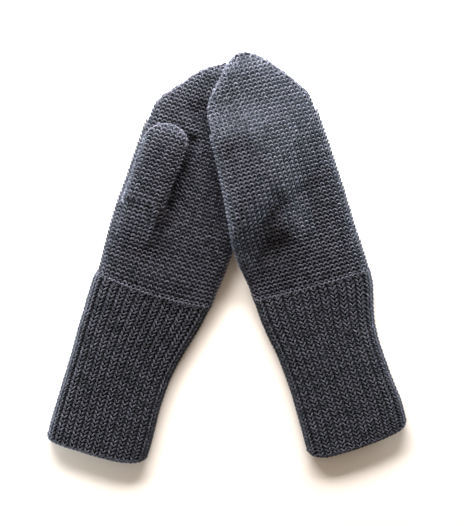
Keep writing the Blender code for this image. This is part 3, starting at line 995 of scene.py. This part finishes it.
def thumb_shell(mitten):
    """The cloth of a thumb, closed at its tip and open where it joins the palm."""
    shares = round_shares(THUMB_SHELL_TOP, THUMB_SHELL_BELOW)

    def ring(station, inset):
        line = ThumbLine(mitten, station, inset)
        return line.lay(*line.section(*shares))

    outer = [ring(s, THUMB_SHELL_OUT) for s in (*THUMB_SHELL_LINE, *THUMB_SHELL_LAST)]
    inner = [ring(s, THUMB_SHELL_IN) for s in THUMB_SHELL_LINE]
    tips = [outer[-1].mean(axis=0), inner[-1].mean(axis=0)]
    return tube_mesh(mitten.name + "_thumb_cloth", outer, inner, tips)


class Nodes:
    """Short calls for adding and joining nodes in one tree."""

    def __init__(self, tree):
        self.tree = tree

    def fill(self, node, values):
        """Join each named input to another node's output, or give it its value."""
        for key, value in values.items():
            if isinstance(value, bpy.types.NodeSocket):
                self.tree.links.new(value, node.inputs[key])
            else:
                node.inputs[key].default_value = value
        return node

    def add(self, kind, values=None, **properties):
        """A new node."""
        node = self.tree.nodes.new(kind)
        for name, value in properties.items():
            setattr(node, name, value)
        return self.fill(node, values or {})

    def first(self, kind, values=None, **properties):
        """A new node's first output."""
        return self.add(kind, values, **properties).outputs[0]

    def math(self, operation, *values):
        """The result of a math node."""
        return self.first("ShaderNodeMath", dict(enumerate(values)), operation=operation)

    def mix(self, factor, low, high):
        """A colour between two. Their sockets are the mix node's 6 and 7, and its result's is 2."""
        values = {"Factor": factor, 6: low, 7: high}
        return self.add("ShaderNodeMix", values, data_type="RGBA").outputs[2]


def add_sockets(tree, in_out, kind, *names):
    """Named inputs or outputs of one kind on a node group."""
    for name in names:
        tree.interface.new_socket(name, in_out=in_out, socket_type="NodeSocket" + kind)


def stitch_tree():
    """Two legs of yarn on every point, turned and sized by the point's own attributes."""
    tree = bpy.data.node_groups.new("Knitted stitches", "GeometryNodeTree")
    add_sockets(tree, "INPUT", "Geometry", "Geometry")
    add_sockets(tree, "INPUT", "Vector", *LEG_POINTS)
    add_sockets(tree, "INPUT", "Float", "Yarn Radius", "Turn Jitter", "Size Jitter")
    add_sockets(tree, "INPUT", "Int", "Sides", "Steps", "Seed")
    add_sockets(tree, "INPUT", "Material", "Wool")
    add_sockets(tree, "OUTPUT", "Geometry", "Geometry")
    n = Nodes(tree)
    given = n.add("NodeGroupInput").outputs

    def read(name, kind="FLOAT_VECTOR"):
        return n.first("GeometryNodeInputNamedAttribute", {"Name": name}, data_type=kind)

    def store(geometry, name, value, domain="POINT"):
        values = {"Geometry": geometry, "Name": name, "Value": value}
        kind = "GeometryNodeStoreNamedAttribute"
        return n.first(kind, values, data_type="FLOAT", domain=domain)

    bends = {"Resolution": given["Steps"]}
    for end, point in zip(("Start", "Start Handle", "End Handle", "End"), LEG_POINTS):
        bends[end] = given[point]
    leg = n.first("GeometryNodeCurvePrimitiveBezierSegment", bends, mode="POSITION")
    length = n.add("GeometryNodeSplineParameter").outputs["Factor"]
    leg = store(leg, "yarn_length", length)
    belly = n.math("SINE", n.math("MULTIPLY", length, math.pi))
    taper = n.math("MULTIPLY_ADD", belly, LEG_BELLY, 1 - LEG_BELLY)
    circle = {"Resolution": given["Sides"], "Radius": given["Yarn Radius"]}
    profile = n.first("GeometryNodeCurvePrimitiveCircle", circle)
    turn = n.add("GeometryNodeSplineParameter").outputs["Factor"]
    profile = store(profile, "yarn_round", turn)
    swept = {"Curve": leg, "Profile Curve": profile, "Scale": taper, "Fill Caps": True}
    tube = n.first("GeometryNodeCurveToMesh", swept)
    second = {"Geometry": store(tube, "second_leg", 1.0), "Scale": (-1.0, 1.0, 1.0)}
    second = n.first("GeometryNodeTransform", second)
    second = n.first("GeometryNodeFlipFaces", {"Mesh": second})
    both = n.add("GeometryNodeJoinGeometry")
    for piece in (tube, second):
        n.tree.links.new(piece, both.inputs[0])

    axes = {"Primary Axis": read("normal_axis"), "Secondary Axis": read("along_axis")}
    kind = "FunctionNodeAxesToRotation"
    rotation = n.first(kind, axes, primary_axis="Z", secondary_axis="Y")
    most = given["Turn Jitter"]
    low = {0: most, 1: (-1.0, -1.0, -1.0)}
    least = n.first("ShaderNodeVectorMath", low, operation="MULTIPLY")
    wobble = {"Min": least, "Max": most, "Seed": given["Seed"]}
    wobble = n.first("FunctionNodeRandomValue", wobble, data_type="FLOAT_VECTOR")
    wobble = n.first("FunctionNodeEulerToRotation", {"Euler": wobble})
    both_turns = {"Rotation": rotation, "Rotate By": wobble}
    rotation = n.first("FunctionNodeRotateRotation", both_turns, rotation_space="LOCAL")
    size = {
        2: n.math("SUBTRACT", 1.0, given["Size Jitter"]),
        3: n.math("ADD", 1.0, given["Size Jitter"]),
        "Seed": n.math("ADD", given["Seed"], 1.0),
    }
    size = n.add("FunctionNodeRandomValue", size, data_type="FLOAT").outputs[1]
    cell = {0: read("cell"), "Scale": size}
    cell = n.first("ShaderNodeVectorMath", cell, operation="SCALE")
    stitches = n.first(
        "GeometryNodeInstanceOnPoints",
        {
            "Points": given["Geometry"],
            "Instance": both.outputs[0],
            "Rotation": rotation,
            "Scale": cell,
        },
    )
    # Each stitch's tone varies at random, as heathered yarn does; the point's shade then moves it
    # down as painted shade on the purl and mouth bars, and up as a painted highlight on the seam.
    tone = {"Seed": n.math("ADD", given["Seed"], 2.0)}
    tone = n.add("FunctionNodeRandomValue", tone, data_type="FLOAT").outputs[1]
    tone = n.math("ADD", tone, n.math("SUBTRACT", read("shade", "FLOAT"), SHADE))
    geometry = store(stitches, "stitch_tone", tone, "INSTANCE")
    for spent in ("normal_axis", "along_axis", "cell", "shade"):
        values = {"Geometry": geometry, "Name": spent}
        geometry = n.first("GeometryNodeRemoveAttribute", values)
    geometry = n.first("GeometryNodeRealizeInstances", {"Geometry": geometry})
    geometry = n.first("GeometryNodeSetShadeSmooth", {"Geometry": geometry})
    values = {"Geometry": geometry, "Material": given["Wool"]}
    n.add("NodeGroupOutput", {0: n.first("GeometryNodeSetMaterial", values)})
    return tree


def cloud(name, places):
    """The stitches' points as a mesh of loose vertices with their attributes."""
    mesh = bpy.data.meshes.new(name)
    mesh.from_pydata(places.point.tolist(), [], [])
    vectors = (("normal_axis", places.normal), ("along_axis", places.along), ("cell", places.cell))
    for label, values in vectors:
        attribute = mesh.attributes.new(label, "FLOAT_VECTOR", "POINT")
        attribute.data.foreach_set("vector", np.ascontiguousarray(values, float).ravel())
    attribute = mesh.attributes.new("shade", "FLOAT", "POINT")
    attribute.data.foreach_set("value", np.ascontiguousarray(places.shade, float))
    return mesh


def knit(name, places, tree, work, wools, seed):
    """A piece of knitting: two legs of yarn at every place, as a plain mesh."""
    mesh = cloud(name + "_places", places)
    holder = add_object(name + "_holder", mesh)
    modifier = holder.modifiers.new("Stitches", "NODES")
    modifier.node_group = tree
    values = {
        "Yarn Radius": work.yarn.radius * MM,
        "Sides": work.yarn.sides,
        "Steps": work.yarn.steps,
        "Turn Jitter": work.turn,
        "Size Jitter": work.size,
        "Seed": seed + work.seed,
        "Wool": wools[work.wool],
    }
    for label, point in zip(LEG_POINTS, work.yarn):
        values[label] = tuple(np.array(point) * MM)
    for item in tree.interface.items_tree:
        if item.in_out == "INPUT" and item.name in values:
            modifier[item.identifier] = values[item.name]
    holder.update_tag()
    graph = bpy.context.evaluated_depsgraph_get()
    graph.update()
    made = bpy.data.meshes.new_from_object(holder.evaluated_get(graph))
    made.name = name
    bpy.data.objects.remove(holder)
    bpy.data.meshes.remove(mesh)
    if signed_volume(made) < 0:
        made.flip_normals()
    return add_object(name, made)


def heather_group():
    """Mixed charcoal and pale fibres: colour, relief and roughness that vary over the yarn."""
    tree = bpy.data.node_groups.new("Heather wool", "ShaderNodeTree")
    add_sockets(tree, "INPUT", "Float", "Tone", "Twist")
    add_sockets(tree, "INPUT", "Color", "Dark", "Pale")
    add_sockets(tree, "OUTPUT", "Color", "Color")
    add_sockets(tree, "OUTPUT", "Float", "Height", "Roughness")
    n = Nodes(tree)
    given = n.add("NodeGroupInput").outputs
    where = n.add("ShaderNodeTexCoord").outputs["Object"]
    mixed = n.math("MULTIPLY", given["Tone"], TONE_SHARE)
    noises = []
    for grain in (FLECK, FIBRE, CLOUD):
        values = {"Vector": where, "Scale": grain.scale, "Detail": grain.detail}
        values["Roughness"] = grain.roughness
        noise = n.add("ShaderNodeTexNoise", values).outputs["Fac"]
        swing = n.math("MULTIPLY_ADD", noise, grain.share, -grain.share / 2)
        mixed = n.math("ADD", mixed, swing)
        noises.append(noise)
    amount = n.first("ShaderNodeClamp", {"Value": mixed})
    plies = n.math("MULTIPLY", given["Twist"], PLY_RELIEF)
    values = {
        "Color": n.mix(amount, given["Dark"], given["Pale"]),
        "Height": n.math("MULTIPLY_ADD", noises[1], FIBRE_RELIEF, plies),
        "Roughness": n.math("MULTIPLY_ADD", noises[0], FLECK_ROUGHNESS, WOOL_ROUGHNESS),
    }
    n.add("NodeGroupOutput", values)
    return tree


def wool_material(name, group):
    """Wool yarn with plies that twist round it, or plain cloth painted far darker, as painted shade
    behind the yarn.
    """
    look = WOOLS[name]
    material = bpy.data.materials.new(name)
    material.use_nodes = True
    n = Nodes(material.node_tree)
    colors = {"Dark": look.dark, "Pale": look.pale}
    heather = n.add("ShaderNodeGroup", colors, node_tree=group)
    if look.twisted:
        tone, second, length, turn = (
            n.add("ShaderNodeAttribute", attribute_name=attribute).outputs["Fac"]
            for attribute in ("stitch_tone", "second_leg", "yarn_length", "yarn_round")
        )
        shuffled = n.math("FRACT", n.math("MULTIPLY", tone, LEG_TONE_SHUFFLE))
        other = n.math("MULTIPLY", second, n.math("SUBTRACT", shuffled, tone))
        tone = n.math("MULTIPLY_ADD", other, LEG_TONE_SHARE, tone)
        ply = n.math("MULTIPLY_ADD", length, PLIES, n.math("MULTIPLY", turn, PLIES))
        wave = n.math("SINE", n.math("MULTIPLY", ply, 2 * math.pi))
        n.fill(heather, {"Tone": tone, "Twist": wave})
    else:
        n.fill(heather, {"Tone": LINING_TONE})
    relief = {
        "Height": heather.outputs["Height"],
        "Strength": RELIEF_STRENGTH,
        "Distance": RELIEF_DEPTH,
    }
    surface = {
        "Base Color": heather.outputs["Color"],
        "Roughness": heather.outputs["Roughness"],
        "Normal": n.first("ShaderNodeBump", relief),
        "Specular IOR Level": WOOL_GLOSS,
        "Sheen Weight": look.sheen,
        "Sheen Roughness": SHEEN_ROUGHNESS,
        "Sheen Tint": SHEEN_TINT,
    }
    n.fill(material.node_tree.nodes["Principled BSDF"], surface)
    return material


def make_floor():
    """A large pale sheet of card under the mittens."""
    mesh = bpy.data.meshes.new("floor")
    signs = ((-1, -1), (1, -1), (1, 1), (-1, 1))
    corners = [(x * FLOOR_HALF, y * FLOOR_HALF, -FLOOR_DROP) for x, y in signs]
    mesh.from_pydata(corners, [], [(0, 1, 2, 3)])
    floor = add_object("floor", mesh)
    card = bpy.data.materials.new("white_card")
    card.use_nodes = True
    shader = card.node_tree.nodes["Principled BSDF"]
    shader.inputs["Base Color"].default_value = FLOOR_COLOR
    shader.inputs["Roughness"].default_value = FLOOR_ROUGHNESS
    shader.inputs["Specular IOR Level"].default_value = FLOOR_GLOSS
    mesh.materials.append(card)


def make_windows():
    """A window beyond the finger tips, and low ones nearer to them and at both sides."""
    for window in WINDOWS:
        light = bpy.data.lights.new(window.name, "AREA")
        light.shape = "RECTANGLE"
        light.size, light.size_y = window.size
        light.energy = window.energy
        light.color = window.color
        lamp = add_object(window.name, light)
        lamp.location = window.place
        aim = Vector(WINDOW_AIM) - lamp.location
        lamp.rotation_euler = aim.to_track_quat("-Z", "Y").to_euler()


def make_room():
    """The world: a bright far wall that turns into a dim near one, under a warm ceiling."""
    world = bpy.data.worlds.new("white_room")
    world.use_nodes = True
    n = Nodes(world.node_tree)
    way = n.add("ShaderNodeTexCoord").outputs["Generated"]
    parts = n.add("ShaderNodeSeparateXYZ", {"Vector": way}).outputs
    height = n.first("ShaderNodeClamp", {"Value": n.math("MULTIPLY", parts["Z"], CEILING_CLIMB)})
    far = n.math("MULTIPLY_ADD", parts["Y"], WALL_TURN, WALL_SIDE)
    wall = n.mix(n.first("ShaderNodeClamp", {"Value": far}), NEAR_WALL, FAR_WALL)
    values = {"Color": n.mix(height, wall, OVERHEAD), "Strength": 1.0}
    n.fill(world.node_tree.nodes["Background"], values)
    bpy.context.scene.world = world
    bpy.context.scene.view_settings.view_transform = "Standard"


def make_camera():
    """Straight above, framed as the photo is."""
    middle_x = (PHOTO_SIZE[0] / 2 - PHOTO_ZERO[0]) * PIXEL * MM
    middle_y = (PHOTO_ZERO[1] - PHOTO_SIZE[1] / 2) * PIXEL * MM
    data = bpy.data.cameras.new("camera")
    data.sensor_width = SENSOR
    data.sensor_fit = "AUTO"
    data.lens = SENSOR * CAMERA_DISTANCE / (PHOTO_SIZE[1] * PIXEL * MM)
    data.clip_end = 10.0
    camera = add_object("camera", data)
    camera.location = (middle_x, middle_y, CAMERA_DISTANCE + SCALE_HEIGHT)
    bpy.context.scene.camera = camera


def declare(shell, knitting, node):
    """The cloth and its yarn stand for the node, which is hidden."""
    for piece in [shell, *knitting]:
        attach(piece, BODY)
        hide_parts(node)


def bare_rings(mitten, start, end):
    """Rings on the outside of a hand or cuff."""
    return [plain_ring(mitten, s, NO_SKIN) for s in np.arange(start, end, SHELL_STEP)]


def dress(mitten, tree, wools):
    """All the pieces of one mitten."""

    def sew(part, shell, slot, rings, rests_on, **yarn):
        """The cloth and the yarn of one tube. Each last keyword is a piece and its places."""
        # The shell gets the cloth painted far darker than the yarn: painted shade between the
        # stitches.
        shell.data.materials.append(wools[PAINTED_SHADE_LINING])
        node = mitten.name + "_" + part
        knitting = []
        for label, places in yarn.items():
            work = WORKS[part + "_" + label]
            knitting.append(knit(node + "_" + label, places, tree, work, wools, mitten.seed))
        declare(shell, knitting, node)

    sew(
        "hand",
        hand_shell(mitten),
        "plain_knit",
        bare_rings(mitten, mitten.cuff_length, mitten.edges[-1].along),
        mitten.hand_rests_on,
        knit_above=hand_places(mitten, True),
        knit_below=hand_places(mitten, False),
        tip_edge=hand_edge(mitten),
        join=seam_chain(mitten, True),
        join_below=seam_chain(mitten, False),
    )
    sew(
        "cuff",
        cuff_shell(mitten),
        "rib_knit",
        bare_rings(mitten, 0.0, mitten.cuff_length),
        ["floor"],
        ribs_above=cuff_places(mitten, True),
        purl_above=cuff_places(mitten, True, **PURL),
        mouth_above=mouth_edge(mitten, True),
        ribs_below=cuff_places(mitten, False),
        purl_below=cuff_places(mitten, False, **PURL),
        mouth_below=mouth_edge(mitten, False),
    )
    lines = [ThumbLine(mitten, s, 0.0) for s in THUMB_CLOTH_LINE]
    sew(
        "thumb",
        thumb_shell(mitten),
        "plain_knit",
        [line.read(THUMB_GIRTH_LINE, True) for line in lines],
        [mitten.name + "_hand"],
        knit_outer=thumb_places(mitten, True),
        knit_inner=thumb_places(mitten, False),
        tip_edge=thumb_edge(mitten),
    )


def main():
    """The whole scene."""
    tree = stitch_tree()
    group = heather_group()
    wools = {name: wool_material(name, group) for name in WOOLS}
    make_camera()
    make_floor()
    make_windows()
    make_room()
    dress(LOWER, tree, wools)
    dress(UPPER, tree, wools)


main()
